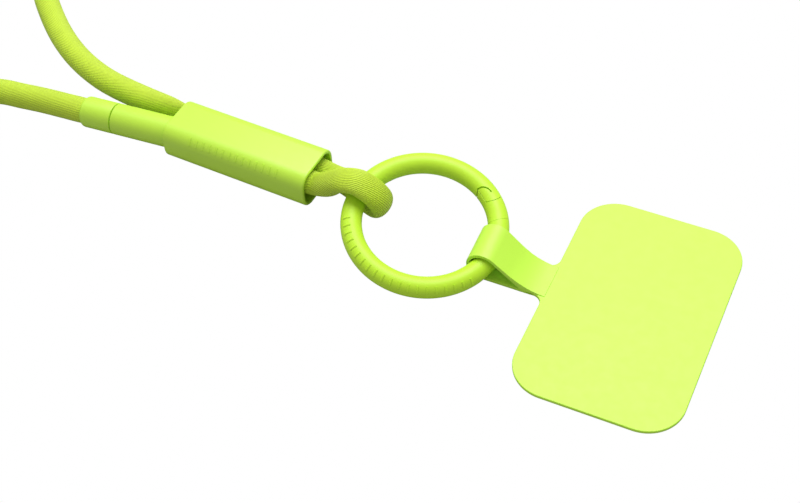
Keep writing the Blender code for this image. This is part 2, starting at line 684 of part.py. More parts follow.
# The part's origin is under the middle of everything but the free cord, on the table.
bpy.context.view_layer.update()
graph = bpy.context.evaluated_depsgraph_get()
FREE_CORD = ("cord_upper_leg", "cord_lower_leg", "cord_coil")
low = Vector((math.inf, math.inf, math.inf))
high = -low
for obj in bpy.context.scene.objects:
    if obj.type not in ("MESH", "CURVE") or obj.hide_render or obj.name in FREE_CORD:
        continue
    shown = obj.evaluated_get(graph)
    mesh = shown.to_mesh()
    for vertex in mesh.vertices:
        place = obj.matrix_world @ vertex.co
        low = Vector(map(min, low, place))
        high = Vector(map(max, high, place))
    shown.to_mesh_clear()
lanyard.location = (-(low.x + high.x) / 2, -(low.y + high.y) / 2, -low.z)
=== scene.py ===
"""The looks of a phone lanyard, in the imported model's own frame: metres, +Z up, +X from the cord to the card.
The sections follow the order in which the lanyard is put together."""

import json
import math

import bmesh
import bpy
from mathutils import Matrix, Vector


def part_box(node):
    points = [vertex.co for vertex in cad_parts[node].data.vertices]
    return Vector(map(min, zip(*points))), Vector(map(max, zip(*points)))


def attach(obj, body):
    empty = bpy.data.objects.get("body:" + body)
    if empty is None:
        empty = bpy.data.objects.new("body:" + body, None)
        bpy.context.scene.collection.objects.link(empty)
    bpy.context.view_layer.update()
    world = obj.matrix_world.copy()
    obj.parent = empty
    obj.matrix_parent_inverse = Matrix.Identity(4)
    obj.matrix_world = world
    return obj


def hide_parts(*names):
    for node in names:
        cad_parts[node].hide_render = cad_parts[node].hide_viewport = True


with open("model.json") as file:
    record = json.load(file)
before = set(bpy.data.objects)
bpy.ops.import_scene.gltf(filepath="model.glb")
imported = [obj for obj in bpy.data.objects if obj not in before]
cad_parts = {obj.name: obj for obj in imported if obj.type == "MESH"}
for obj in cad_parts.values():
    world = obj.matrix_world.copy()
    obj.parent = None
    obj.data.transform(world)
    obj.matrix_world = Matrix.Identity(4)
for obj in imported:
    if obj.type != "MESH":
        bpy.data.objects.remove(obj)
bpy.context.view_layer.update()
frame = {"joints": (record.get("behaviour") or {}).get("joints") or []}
joints = {joint["name"]: joint for joint in frame["joints"]}
sleeve_low, sleeve_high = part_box("sleeve")

# ---- Studio ---------------------------------------------------------------------------------------------
# A white sweep under a large soft light, above and a little behind the lanyard, so that the upper faces are
# bright and the near sides fall away. The sweep looks pure white itself, and throws only a little light back
# at the lanyard. None of this is part of the lanyard.
SWEEP_SIZE = 12.0
SWEEP_BOUNCE = (0.36, 0.36, 0.36, 1.0)
ROOM_LIGHT = 0.52
CAMERA_PLACE = Vector((0.114251, -0.185185, 0.2383))
CAMERA_RIGHT = Vector((0.8832, 0.4674, -0.0396))
CAMERA_UP = Vector((-0.3304, 0.6797, 0.6548))
CAMERA_BACK = Vector((0.33298, -0.56528, 0.75471))
LENS = 60.6                     # millimetres, on a 36 mm sensor

sweep_mesh = bpy.data.meshes.new("sweep")
half = SWEEP_SIZE / 2
sweep_corners = [(-half, -half, 0), (half, -half, 0), (half, half, 0), (-half, half, 0)]
sweep_mesh.from_pydata(sweep_corners, [], [(0, 1, 2, 3)])
sweep = bpy.data.objects.new("sweep", sweep_mesh)
bpy.context.scene.collection.objects.link(sweep)
sweep_paint = bpy.data.materials.new("sweep_paint")
sweep_paint.use_nodes = True
sweep_shader = sweep_paint.node_tree.nodes["Principled BSDF"]
sweep_shader.inputs["Base Color"].default_value = SWEEP_BOUNCE
sweep_shader.inputs["Roughness"].default_value = 0.9
sweep_shader.inputs["Specular IOR Level"].default_value = 0.1
sweep_white = sweep_paint.node_tree.nodes.new("ShaderNodeEmission")
sweep_seen = sweep_paint.node_tree.nodes.new("ShaderNodeLightPath")
sweep_choice = sweep_paint.node_tree.nodes.new("ShaderNodeMixShader")
sweep_paint.node_tree.links.new(sweep_seen.outputs["Is Camera Ray"], sweep_choice.inputs["Fac"])
sweep_paint.node_tree.links.new(sweep_shader.outputs["BSDF"], sweep_choice.inputs[1])
sweep_paint.node_tree.links.new(sweep_white.outputs["Emission"], sweep_choice.inputs[2])
sweep_paint.node_tree.links.new(
    sweep_choice.outputs["Shader"], sweep_paint.node_tree.nodes["Material Output"].inputs["Surface"])
sweep_mesh.materials.append(sweep_paint)

room = bpy.data.worlds.new("room")
room.use_nodes = True
room.node_tree.nodes["Background"].inputs["Color"].default_value = (1.0, 1.0, 1.0, 1.0)
room.node_tree.nodes["Background"].inputs["Strength"].default_value = ROOM_LIGHT
bpy.context.scene.world = room


def soft_light(name, place, aim, size, power):
    """A square soft box at a place, turned to an aim."""
    lamp = bpy.data.lights.new(name, "AREA")
    lamp.shape = "SQUARE"
    lamp.size = size
    lamp.energy = power
    holder = bpy.data.objects.new(name, lamp)
    holder.location = place
    holder.rotation_euler = (Vector(aim) - Vector(place)).to_track_quat("-Z", "Y").to_euler()
    bpy.context.scene.collection.objects.link(holder)


soft_light("overhead_box", (-0.05, 0.32, 0.75), (-0.01, 0.0, 0.0), 0.55, 6.5)
soft_light("side_box", (-0.55, 0.1, 0.45), (-0.02, 0.0, 0.0), 0.35, 0.4)

camera = bpy.data.objects.new("camera", bpy.data.cameras.new("camera"))
turned = Matrix((CAMERA_RIGHT, CAMERA_UP, CAMERA_BACK)).transposed().to_4x4()
camera.matrix_world = Matrix.Translation(CAMERA_PLACE) @ turned
camera.data.lens = LENS
camera.data.sensor_width = 36.0
camera.data.clip_start = 0.01
bpy.context.scene.collection.objects.link(camera)
bpy.context.scene.camera = camera
bpy.context.scene.view_settings.view_transform = "Standard"

# ---- Free cord ------------------------------------------------------------------------------------------
# The lanyard's one cord is a round knitted polyester tube, 6.6 mm thick, with fine ribs that wind round it.
# Its free part leaves the sleeve beside the barrel, lies on the table, is put away in a round coil of two
# layers, and comes back into the barrel's outer end, where it is pushed in and glued.
CORD_ROUND = 0.0033             # half its thickness
CORD_TWIST = 21.0               # turns of a rib in a metre
CORD_RIBS = 44
CORD_SPACING = 0.0015           # between the tube's rings
CORD_COLUMNS = 44
CORD_IN_BARREL = 0.0029         # half its thickness in the barrel
CORD_SLIM, CORD_TALL = 0.0016, 0.0036   # half its sizes beside the barrel
CORD_IN_MOUTH = 0.0051          # its height there
SLEEVE_ASIDE = 0.0034           # the sleeve's middle, from the line through the ring's centre
STITCH = 0.0008
THREAD = (0.58, 0.80, 0.03, 1.0)
# The thread's colour darkened, as painted shade in the hollows between the ribs.
VALLEY_SHADE = (0.30, 0.40, 0.012, 1.0)
COIL_FROM_SLEEVE = 0.1177
COIL_OUTER = 0.0428             # the middle of the cord in the outermost turn
COIL_PITCH = 0.0067
COIL_TURNS = 2.75               # in each layer
UPPER_LAYER = 0.0100
BARREL_DIAMETER = 0.0080
BARREL_LENGTH = 0.0310
BARREL_IN_SLEEVE = 0.0050
BARREL_SWING = math.radians(5.0)
SLEEVE_WALL = 0.00085
BARREL_SIDE_ROOM = 0.0006
BARREL_INNER_HEIGHT = 0.0052

outer_end = sleeve_low.x
middle_y = (sleeve_low.y + sleeve_high.y) / 2 - SLEEVE_ASIDE
barrel_inner = Vector((
    outer_end + BARREL_IN_SLEEVE,
    sleeve_low.y + SLEEVE_WALL + BARREL_SIDE_ROOM + BARREL_DIAMETER / 2,
    BARREL_INNER_HEIGHT,
))
barrel_dip = math.asin((BARREL_INNER_HEIGHT - BARREL_DIAMETER / 2) / BARREL_LENGTH)
barrel_turn = Matrix.Rotation(BARREL_SWING, 4, "Z") @ Matrix.Rotation(-barrel_dip, 4, "Y")
barrel_place = Matrix.Translation(barrel_inner) @ barrel_turn


def leg_point(out, y, z=CORD_ROUND, wide=CORD_ROUND, tall=CORD_ROUND):
    """A point of a free leg, this far out from the sleeve's outer end, with the cord's half sizes there."""
    return (outer_end - out, middle_y + y, z, wide, tall)


def barrel_point(distance, size=CORD_ROUND):
    """A point on the barrel's own axis, this far out from its inner end."""
    return (*(barrel_place @ Vector((-distance, 0, 0))), size, size)


def coil_point(turn, radius, z):
    """A point of the coil at a turn in degrees, counted from +X."""
    angle = math.radians(turn)
    return leg_point(COIL_FROM_SLEEVE - radius * math.cos(angle), radius * math.sin(angle), z)


def smooth_path(points, steps):
    """Catmull-Rom curve through the points. Every number of a point is smoothed in the same way."""
    padded = [points[0]] + list(points) + [points[-1]]
    route = []
    for index in range(len(points) - 1):
        before, here, there, after = padded[index:index + 4]
        for step in range(steps):
            t = step / steps
            route.append(tuple(
                0.5 * (2 * b + (c - a) * t + (2 * a - 5 * b + 4 * c - d) * t * t
                       + (3 * b - a - 3 * c + d) * t ** 3)
                for a, b, c, d in zip(before, here, there, after)
            ))
    route.append(tuple(points[-1]))
    return route


def even_path(points, spacing):
    """The smooth curve through the points, read at an even spacing."""
    fine = smooth_path(points, 24)
    route = [fine[0]]
    walked = 0.0
    for here, there in zip(fine, fine[1:]):
        walked += math.dist(here[:3], there[:3])
        if walked >= spacing * len(route):
            route.append(there)
    route[-1] = fine[-1]
    return route


def knitted_tube(name, route, reference, columns, twist, rib_rise=0.0):
    """A closed tube along points of (x, y, z, half width, half height). Its columns wind round with the ribs.
    Its UV map holds the share of the way round, and the metres along."""
    places = [Vector(point[:3]) for point in route]
    points = []
    along = [0.0]
    for here, there in zip(places, places[1:]):
        along.append(along[-1] + (there - here).length)
    for index, (x, y, z, wide, tall) in enumerate(route):
        ahead = (places[min(index + 1, len(places) - 1)] - places[max(index - 1, 0)]).normalized()
        side = (reference - ahead * reference.dot(ahead)).normalized()
        up = ahead.cross(side)
        for column in range(columns):
            share = column / columns
            turn = 2 * math.pi * (share - twist * along[index])
            rise = rib_rise * (abs(math.sin(math.pi * CORD_RIBS * share)) ** 0.7 - 0.6)
            points.append(places[index] + side * (wide + rise) * math.cos(turn)
                          + up * (tall + rise) * math.sin(turn))
    faces = []
    marks = []
    for row in range(len(route) - 1):
        for column in range(columns):
            after = (column + 1) % columns
            low, high = row * columns, (row + 1) * columns
            faces.append((low + column, low + after, high + after, high + column))
            left, right = column / columns, (column + 1) / columns
            start, end = along[row], along[row + 1]
            marks += [(left, start), (right, start), (right, end), (left, end)]
    faces.append(tuple(reversed(range(columns))))
    faces.append(tuple(range(len(points) - columns, len(points))))
    marks += [(0.0, 0.0)] * (2 * columns)
    mesh = bpy.data.meshes.new(name)
    mesh.from_pydata(points, [], faces)
    knit_map = mesh.uv_layers.new(name="knit")
    knit_map.data.foreach_set("uv", [value for mark in marks for value in mark])
    return closed_piece(name, mesh)


def closed_piece(name, mesh):
    """An object of a closed mesh, smooth but for its sharp edges, with its faces pointing outwards."""
    bm = bmesh.new()
    bm.from_mesh(mesh)
    bmesh.ops.remove_doubles(bm, verts=bm.verts, dist=1e-8)
    bmesh.ops.recalc_face_normals(bm, faces=bm.faces)
    bm.to_mesh(mesh)
    bm.free()
    mesh.shade_smooth()
    mesh.set_sharp_from_angle(angle=math.radians(38))
    piece = bpy.data.objects.new(name, mesh)
    bpy.context.scene.collection.objects.link(piece)
    return piece


def plain_piece(name, points, faces):
    """A piece made of these points and faces."""
    mesh = bpy.data.meshes.new(name)
    mesh.from_pydata(points, [], faces)
    return closed_piece(name, mesh)


def new_group(name, inputs, outputs):
    """An empty shader group with named sockets, given as (kind, name, value)."""
    group = bpy.data.node_groups.new(name, "ShaderNodeTree")
    for kind, label, value in inputs:
        socket = group.interface.new_socket(label, in_out="INPUT", socket_type=kind)
        if value is not None:
            socket.default_value = value
    for kind, label in outputs:
        group.interface.new_socket(label, in_out="OUTPUT", socket_type=kind)
    return group


def math_node(tree, operation, *values):
    """A math node on values or sockets. It returns its output."""
    node = tree.nodes.new("ShaderNodeMath")
    node.operation = operation
    for slot, value in zip(node.inputs, values):
        if isinstance(value, bpy.types.NodeSocket):
            tree.links.new(value, slot)
        else:
            slot.default_value = value
    return node.outputs[0]


def mix_node(tree, factor, first, second, blend="MIX"):
    """A colour mix of two colours or sockets. It returns its output."""
    node = tree.nodes.new("ShaderNodeMix")
    node.data_type = "RGBA"
    node.blend_type = blend
    for slot, value in ((node.inputs[0], factor), (node.inputs[6], first), (node.inputs[7], second)):
        if isinstance(value, bpy.types.NodeSocket):
            tree.links.new(value, slot)
        else:
            slot.default_value = value
    return node.outputs[2]


def noise_node(tree, where, size, detail=2.0):
    """Noise whose patches are about this many metres across. It returns its value, about 0.5."""
    node = tree.nodes.new("ShaderNodeTexNoise")
    node.inputs["Scale"].default_value = 1.0 / size
    node.inputs["Detail"].default_value = detail
    tree.links.new(where, node.inputs["Vector"])
    return node.outputs["Fac"]


knit = new_group(
    "rib_knit",
    [("NodeSocketVector", "Way Round And Along", None), ("NodeSocketVector", "Place", None),
     ("NodeSocketFloat", "Ribs", float(CORD_RIBS)), ("NodeSocketFloat", "Stitch Length", STITCH),
     ("NodeSocketColor", "Thread", THREAD), ("NodeSocketColor", "Valley Shade", VALLEY_SHADE)],
    [("NodeSocketColor", "Colour"), ("NodeSocketFloat", "Height")],
)
knit_in = knit.nodes.new("NodeGroupInput").outputs
knit_out = knit.nodes.new("NodeGroupOutput").inputs
parts = knit.nodes.new("ShaderNodeSeparateXYZ")
knit.links.new(knit_in["Way Round And Along"], parts.inputs[0])
phase = math_node(knit, "MULTIPLY", parts.outputs["X"], knit_in["Ribs"])
dome = math_node(knit, "SINE", math_node(knit, "MULTIPLY", math_node(knit, "FRACT", phase), math.pi))
chance = knit.nodes.new("ShaderNodeTexWhiteNoise")
chance.noise_dimensions = "1D"
knit.links.new(math_node(knit, "FLOOR", phase), chance.inputs["W"])
step_along = math_node(knit, "ADD", math_node(knit, "DIVIDE", parts.outputs["Y"], knit_in["Stitch Length"]),
                      chance.outputs["Value"])
lean = math_node(knit, "MULTIPLY", math_node(knit, "FRACT", phase), 0.45)
loops = math_node(knit, "ABSOLUTE", math_node(
    knit, "SINE", math_node(knit, "MULTIPLY", math_node(knit, "ADD", step_along, lean), math.pi)))
swell = math_node(knit, "ADD", math_node(knit, "MULTIPLY", loops, 0.32), 0.68)
height = math_node(knit, "MULTIPLY", math_node(knit, "POWER", dome, 0.75), swell)
fuzz = noise_node(knit, knit_in["Place"], 0.00025)
height = math_node(knit, "ADD", height, math_node(knit, "MULTIPLY", fuzz, 0.25))
tone = noise_node(knit, knit_in["Place"], 0.004)
tone = math_node(knit, "ADD", math_node(knit, "MULTIPLY", tone, 0.16), 0.92)
# Painted shade: with the height, the colour goes from the valley shade in the rib hollows to the thread on the
# rib tops.
yarn_with_valley_shade = mix_node(knit, height, knit_in["Valley Shade"], knit_in["Thread"])
toned_with_valley_shade = mix_node(knit, 1.0, yarn_with_valley_shade, tone, "MULTIPLY")
knit.links.new(toned_with_valley_shade, knit_out["Colour"])
knit.links.new(height, knit_out["Height"])


def new_material(name):
    """A material with its node tree and its main shader."""
    material = bpy.data.materials.new(name)
    material.use_nodes = True
    return material, material.node_tree, material.node_tree.nodes["Principled BSDF"]


knitted_cord, tree, shader = new_material("knitted_cord")
knit_use = tree.nodes.new("ShaderNodeGroup")
knit_use.node_tree = knit
knit_uv = tree.nodes.new("ShaderNodeUVMap")
knit_uv.uv_map = "knit"
knit_place = tree.nodes.new("ShaderNodeTexCoord")
tree.links.new(knit_uv.outputs["UV"], knit_use.inputs["Way Round And Along"])
tree.links.new(knit_place.outputs["Object"], knit_use.inputs["Place"])
knit_bump = tree.nodes.new("ShaderNodeBump")
knit_bump.inputs["Strength"].default_value = 0.8
knit_bump.inputs["Distance"].default_value = 0.00012
tree.links.new(knit_use.outputs["Height"], knit_bump.inputs["Height"])
tree.links.new(knit_bump.outputs["Normal"], shader.inputs["Normal"])
tree.links.new(knit_use.outputs["Colour"], shader.inputs["Base Color"])
shader.inputs["Roughness"].default_value = 0.62
shader.inputs["Sheen Weight"].default_value = 0.25
shader.inputs["Sheen Roughness"].default_value = 0.4
shader.inputs["Sheen Tint"].default_value = (0.85, 1.0, 0.45, 1.0)

slim_y = 0.0081
route_points = [
    leg_point(-0.0030, slim_y - 0.0001, CORD_IN_MOUTH, 0.0015, 0.0035),
    leg_point(0.0003, slim_y, CORD_IN_MOUTH, CORD_SLIM, 0.0035),
    leg_point(0.0061, 0.0089, 0.0045, 0.0025, 0.0035),
    leg_point(0.0136, 0.0096, 0.0036, 0.0032, 0.0034),
    leg_point(0.0211, 0.0104),
    leg_point(0.0266, 0.0111),
    leg_point(0.0316, 0.0122),
    leg_point(0.0376, 0.0142),
    leg_point(0.0438, 0.0170),
    leg_point(0.0506, 0.0210),
    leg_point(0.0571, 0.0257),
    leg_point(0.0633, 0.0308),
    leg_point(0.0701, 0.0368),
    leg_point(0.0772, 0.0410),
    leg_point(0.0852, 0.0430),
    leg_point(0.0929, 0.0433),
    leg_point(0.1047, 0.0431),
]
turn_step = 12
lower_turns = range(90, 90 + int(360 * COIL_TURNS) + 1, turn_step)
for turn in lower_turns:
    rise = min(1.0, max(0.0, (turn - 1050) / 90))
    rise = rise * rise * (3 - 2 * rise)
    radius = COIL_OUTER - COIL_PITCH * (turn - 90) / 360
    route_points.append(coil_point(turn, radius, CORD_ROUND + (UPPER_LAYER - CORD_ROUND) * rise))
inner_radius = COIL_OUTER - COIL_PITCH * COIL_TURNS
for turn in range(turn_step, int(360 * COIL_TURNS) + 1, turn_step):
    rise = min(1.0, (turn + 30) / 90)
    rise = rise * rise * (3 - 2 * rise)
    radius = inner_radius + COIL_PITCH * turn / 360
    route_points.append(coil_point(turn, radius, CORD_ROUND + (UPPER_LAYER - CORD_ROUND) * rise))
route_points += [
    leg_point(0.1116, -0.0433, 0.0087),
    leg_point(0.1051, -0.0436, 0.0057),
    leg_point(0.0981, -0.0437, 0.0036),
    leg_point(0.0921, -0.0430),
    leg_point(0.0871, -0.0410),
    leg_point(0.0816, -0.0362),
    leg_point(0.0756, -0.0270),
    leg_point(0.0706, -0.0175),
    leg_point(0.0621, -0.0088),
    leg_point(0.0522, -0.0043),
    leg_point(0.0454, -0.0030),
    leg_point(0.0389, -0.0020, 0.0034),
    barrel_point(BARREL_LENGTH + 0.0060),
    barrel_point(BARREL_LENGTH + 0.0008),
    barrel_point(BARREL_LENGTH - 0.0006, CORD_IN_BARREL),
    barrel_point(BARREL_LENGTH - 0.0024, CORD_IN_BARREL),
]
free_route = even_path(route_points, CORD_SPACING)
free_cord = knitted_tube(
    "free_cord", [(x, y, z, tall, wide) for x, y, z, wide, tall in free_route], Vector((0, 0, 1)),
    CORD_COLUMNS, CORD_TWIST)
free_cord.data.materials.append(knitted_cord)
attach(free_cord, "cord")
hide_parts("cord_upper_leg", "cord_lower_leg", "cord_coil")

# ---- Ring places ----------------------------------------------------------------------------------------
# The ring's own axes, from its two joints: the gate's pin stands square to the ring, and the cord's loop goes
# round the ring's tube at a known angle.
RING_RADIUS = 0.0171
RING_TUBE = 0.0050
LOOP_AT = math.radians(176.0)
PIN_AT = math.radians(55.0)

ring_up = -Vector(joints["gate_hinge"]["axis"]).normalized()
ring_x = (Vector((1, 0, 0)) - ring_up * ring_up.x).normalized()
ring_y = ring_up.cross(ring_x)
loop_middle = Vector(joints["ring_swing"]["pos_m"])
ring_centre = loop_middle - RING_RADIUS * (ring_x * math.cos(LOOP_AT) + ring_y * math.sin(LOOP_AT))
ring_place = Matrix.Translation(ring_centre) @ Matrix((ring_x, ring_y, ring_up)).transposed().to_4x4()

# ---- Captive cord ---------------------------------------------------------------------------------------
# The same knitted cord, from its end in the barrel through the sleeve, over the ring, round its tube and back
# through the sleeve. Nothing fixes it to the ring, which swings in the loop.
SQUEEZED = 0.00305              # half its thickness in the sleeve
SIDE_ROOM = 0.00015             # between it and the sleeve's walls
RIB_RISE = 0.00006
LOOP_WIDE = 0.0036
LOOP_THICK = 0.0022
LOOP_ROOM = 0.0006
LOOP_SHIFT = 0.0023
LOOP_TWIST = 14.0

ring_end = sleeve_high.x
sleeve_middle_z = (sleeve_low.z + sleeve_high.z) / 2
near_y = sleeve_low.y + SLEEVE_WALL + SQUEEZED + SIDE_ROOM
far_y = sleeve_high.y - SLEEVE_WALL - SQUEEZED - SIDE_ROOM
roof_z = sleeve_high.z - SLEEVE_WALL - SQUEEZED - SIDE_ROOM
floor_z = SLEEVE_WALL + SQUEEZED + SIDE_ROOM
loop_out = (ring_x * math.cos(LOOP_AT) + ring_y * math.sin(LOOP_AT)).normalized()
loop_along = (ring_y * math.cos(LOOP_AT) - ring_x * math.sin(LOOP_AT)).normalized()
loop_radius = RING_TUBE / 2 + LOOP_ROOM + LOOP_THICK


def loop_point(lift, shift, wide=LOOP_WIDE, thick=LOOP_THICK):
    """A point of the loop, lift degrees from straight out through the ring's hole, up being positive."""
    angle = math.radians(lift)
    spot = (loop_middle - loop_out * loop_radius * math.cos(angle) + loop_along * shift
            + Vector((0, 0, loop_radius * math.sin(angle))))
    return (*spot, wide, thick)


captive_points = [
    barrel_point(0.0083, CORD_IN_BARREL),
    barrel_point(0.0042, CORD_IN_BARREL),
    barrel_point(0.0, CORD_IN_BARREL),
    (outer_end + 0.013, near_y + 0.0003, sleeve_middle_z, SQUEEZED, SQUEEZED),
    (outer_end + 0.022, near_y, sleeve_middle_z, SQUEEZED, SQUEEZED),
    (ring_end - 0.006, near_y, roof_z - 0.0006, SQUEEZED, SQUEEZED),
    (ring_end - 0.001, near_y + 0.0003, 0.0060, 0.0030, 0.00285),
    (ring_end + 0.0020, near_y + 0.0003, 0.0064, 0.0030, 0.0027),
    (ring_end + 0.0058, loop_middle.y - 0.0011, 0.0092, 0.0034, 0.0029),
    (ring_end + 0.0098, loop_middle.y - 0.0019, 0.0128, 0.0035, 0.0024),
    loop_point(90, LOOP_SHIFT),
    loop_point(60, LOOP_SHIFT * 0.8),
    loop_point(30, LOOP_SHIFT * 0.5),
    loop_point(0, LOOP_SHIFT * 0.1),
    loop_point(-30, -LOOP_SHIFT * 0.3),
    loop_point(-60, -LOOP_SHIFT * 0.7),
    loop_point(-90, -LOOP_SHIFT),
    (ring_end + 0.0078, far_y - 0.0010, 0.0045, CORD_ROUND, CORD_ROUND * 0.9),
    (ring_end + 0.0025, far_y - 0.0004, floor_z + 0.0003, 0.0030, 0.0030),
    (ring_end - 0.006, far_y, sleeve_middle_z, SQUEEZED, SQUEEZED),
    (outer_end + 0.020, far_y, sleeve_middle_z, SQUEEZED, SQUEEZED),
    (outer_end + 0.0125, far_y + 0.0004, sleeve_middle_z, SQUEEZED * 0.85, SQUEEZED),
    (outer_end + 0.0070, middle_y + slim_y, sleeve_middle_z, CORD_SLIM, CORD_TALL),
    (outer_end + 0.0034, middle_y + slim_y, sleeve_middle_z, CORD_SLIM, CORD_TALL),
]
captive_cord = knitted_tube(
    "captive_cord", even_path(captive_points, 0.0006), Vector((0, 1, 0)), CORD_RIBS * 4, LOOP_TWIST, RIB_RISE)
captive_cord.data.materials.append(knitted_cord)
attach(captive_cord, "cord")
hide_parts("cord_ring_loop")

# ---- Barrel ---------------------------------------------------------------------------------------------
# Two moulded cups of satin plastic in the cord's colour. The plug half's spigot snaps into the socket half
# over a small bead, and a cord end is glued in each. Their rims are well rounded, and a fine seam shows where
# they meet.
BARREL_RIM = 0.0009
BARREL_SEAM = 0.0218            # from the inner end
SEAM_HALF_GAP = 0.00015
SEAM_ROUND = 0.00022
CORD_BORE = 0.00305
PLUG_SEAT = 0.0085
SOCKET_SEAT = 0.0028
SPIGOT_ROUND = 0.0026
SPIGOT_LENGTH = 0.0048
BEAD_RISE = 0.00012
TURNED_STEPS = 96


def corner_arc(along, across, radius, start, end, steps=6):
    """Points of an arc in a section, from start to end in degrees."""
    points = []
    for step in range(steps + 1):
        turn = math.radians(start + (end - start) * step / steps)
        points.append((along + radius * math.cos(turn), across + radius * math.sin(turn)))
    return points


def rows_joined(rows, around):
    """Faces between rows of points, with the last row joined to the first."""
    faces = []
    for row in range(rows):
        low, high = row * around, (row + 1) % rows * around
        for step in range(around):
            after = (step + 1) % around
            faces.append((low + step, low + after, high + after, high + step))
    return faces


def turned_piece(name, profile, place):
    """A closed outline of (along, radius) turned about +X, then put in its place."""
    points = []
    for along, radius in profile:
        for step in range(TURNED_STEPS):
            turn = 2 * math.pi * step / TURNED_STEPS
            points.append(place @ Vector((along, radius * math.cos(turn), radius * math.sin(turn))))
    return plain_piece(name, points, rows_joined(len(profile), TURNED_STEPS))


outer_round = BARREL_DIAMETER / 2
AXIS = 1e-6
plug_profile = [(0.0 - 0.0002, CORD_BORE)]
plug_profile += corner_arc(-BARREL_RIM, outer_round - BARREL_RIM, BARREL_RIM, 0, 90)
plug_profile += corner_arc(
    -BARREL_SEAM + SEAM_HALF_GAP + SEAM_ROUND, outer_round - SEAM_ROUND, SEAM_ROUND, 90, 180, 4)
bead_at = -BARREL_SEAM - SPIGOT_LENGTH * 0.62
plug_profile += [
    (-BARREL_SEAM + SEAM_HALF_GAP, SPIGOT_ROUND),
    (bead_at + 0.0006, SPIGOT_ROUND),
    (bead_at, SPIGOT_ROUND + BEAD_RISE),
    (bead_at - 0.0006, SPIGOT_ROUND),
    (-BARREL_SEAM - SPIGOT_LENGTH, SPIGOT_ROUND - 0.0003),
    (-BARREL_SEAM - SPIGOT_LENGTH, AXIS),
    (-PLUG_SEAT, AXIS),
    (-PLUG_SEAT, CORD_BORE),
]
socket_bore = SPIGOT_ROUND + BEAD_RISE + 0.00015
socket_floor = -BARREL_SEAM - SPIGOT_LENGTH - 0.0003
socket_profile = [
    (-BARREL_SEAM - SEAM_HALF_GAP, socket_bore),
    (socket_floor, socket_bore),
    (socket_floor, AXIS),
    (-BARREL_LENGTH + SOCKET_SEAT, AXIS),
    (-BARREL_LENGTH + SOCKET_SEAT, CORD_BORE),
    (-BARREL_LENGTH + 0.0003, CORD_BORE),
]
socket_profile += corner_arc(-BARREL_LENGTH + BARREL_RIM, outer_round - BARREL_RIM, BARREL_RIM, 180, 90)
socket_profile += corner_arc(
    -BARREL_SEAM - SEAM_HALF_GAP - SEAM_ROUND, outer_round - SEAM_ROUND, SEAM_ROUND, 90, 0, 4)
barrel_plug = turned_piece("barrel_plug", plug_profile, barrel_place)
barrel_socket = turned_piece("barrel_socket", socket_profile, barrel_place)

satin = new_group(
    "satin_surface",
    [("NodeSocketVector", "Place", None), ("NodeSocketColor", "Colour", (0.4, 0.75, 0.03, 1.0)),
     ("NodeSocketFloat", "Tone Change", 0.06), ("NodeSocketFloat", "Roughness", 0.4),
     ("NodeSocketFloat", "Roughness Change", 0.12)],
    [("NodeSocketColor", "Colour"), ("NodeSocketFloat", "Roughness"), ("NodeSocketFloat", "Height")],
)
satin_in = satin.nodes.new("NodeGroupInput").outputs
satin_out = satin.nodes.new("NodeGroupOutput").inputs
broad = noise_node(satin, satin_in["Place"], 0.011)
smear = noise_node(satin, satin_in["Place"], 0.0022, 3.0)
grain = noise_node(satin, satin_in["Place"], 0.00016, 1.0)
tone = math_node(satin, "MULTIPLY", math_node(satin, "SUBTRACT", broad, 0.5), satin_in["Tone Change"])
satin.links.new(mix_node(satin, 1.0, satin_in["Colour"], math_node(satin, "ADD", tone, 1.0), "MULTIPLY"),
                satin_out["Colour"])
gloss = math_node(satin, "MULTIPLY", math_node(satin, "SUBTRACT", smear, 0.5), satin_in["Roughness Change"])
satin.links.new(math_node(satin, "ADD", gloss, satin_in["Roughness"]), satin_out["Roughness"])
satin.links.new(math_node(satin, "ADD", grain, math_node(satin, "MULTIPLY", smear, 0.8)), satin_out["Height"])


def satin_material(name, colour, roughness, grain_depth, tone_change=0.06):
    """A satin finish of one colour, with fine grain and faint changes of tone and gloss."""
    material, nodes, principled = new_material(name)
    use = nodes.nodes.new("ShaderNodeGroup")
    use.node_tree = satin
    place = nodes.nodes.new("ShaderNodeTexCoord")
    nodes.links.new(place.outputs["Object"], use.inputs["Place"])
    use.inputs["Colour"].default_value = (*colour, 1.0)
    use.inputs["Roughness"].default_value = roughness
    use.inputs["Tone Change"].default_value = tone_change
    bump = nodes.nodes.new("ShaderNodeBump")
    bump.inputs["Strength"].default_value = 0.5
    bump.inputs["Distance"].default_value = grain_depth
    nodes.links.new(use.outputs["Height"], bump.inputs["Height"])
    nodes.links.new(use.outputs["Colour"], principled.inputs["Base Color"])
    nodes.links.new(use.outputs["Roughness"], principled.inputs["Roughness"])
    nodes.links.new(bump.outputs["Normal"], principled.inputs["Normal"])
    return material, principled


moulded_lime, shader = satin_material("moulded_lime", (0.50, 0.80, 0.035), 0.46, 0.00001)
shader.inputs["Specular IOR Level"].default_value = 0.8
for piece, node in ((barrel_plug, "barrel_plug_half"), (barrel_socket, "barrel_socket_half")):
    piece.data.materials.append(moulded_lime)
    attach(piece, "cord")
    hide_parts(node)

# ---- Sleeve ---------------------------------------------------------------------------------------------
# A flat moulded tube of the same plastic, open at both ends, that keeps the cord's legs side by side and
# slides a little along them. Its ends are softly rounded, and small raised bars run along its near edge.
SLEEVE_ROUND = 0.0037
SLEEVE_RIM_OUT = 0.00045
SLEEVE_RIM_IN = 0.00030
BAR_COUNT = 14
BAR_PITCH = 0.0019
BAR_THICK = 0.00038
BAR_RISE = 0.00020
BAR_SWEEP = 30.0

sleeve_wide = sleeve_high.y - sleeve_low.y
sleeve_tall = sleeve_high.z - sleeve_low.z


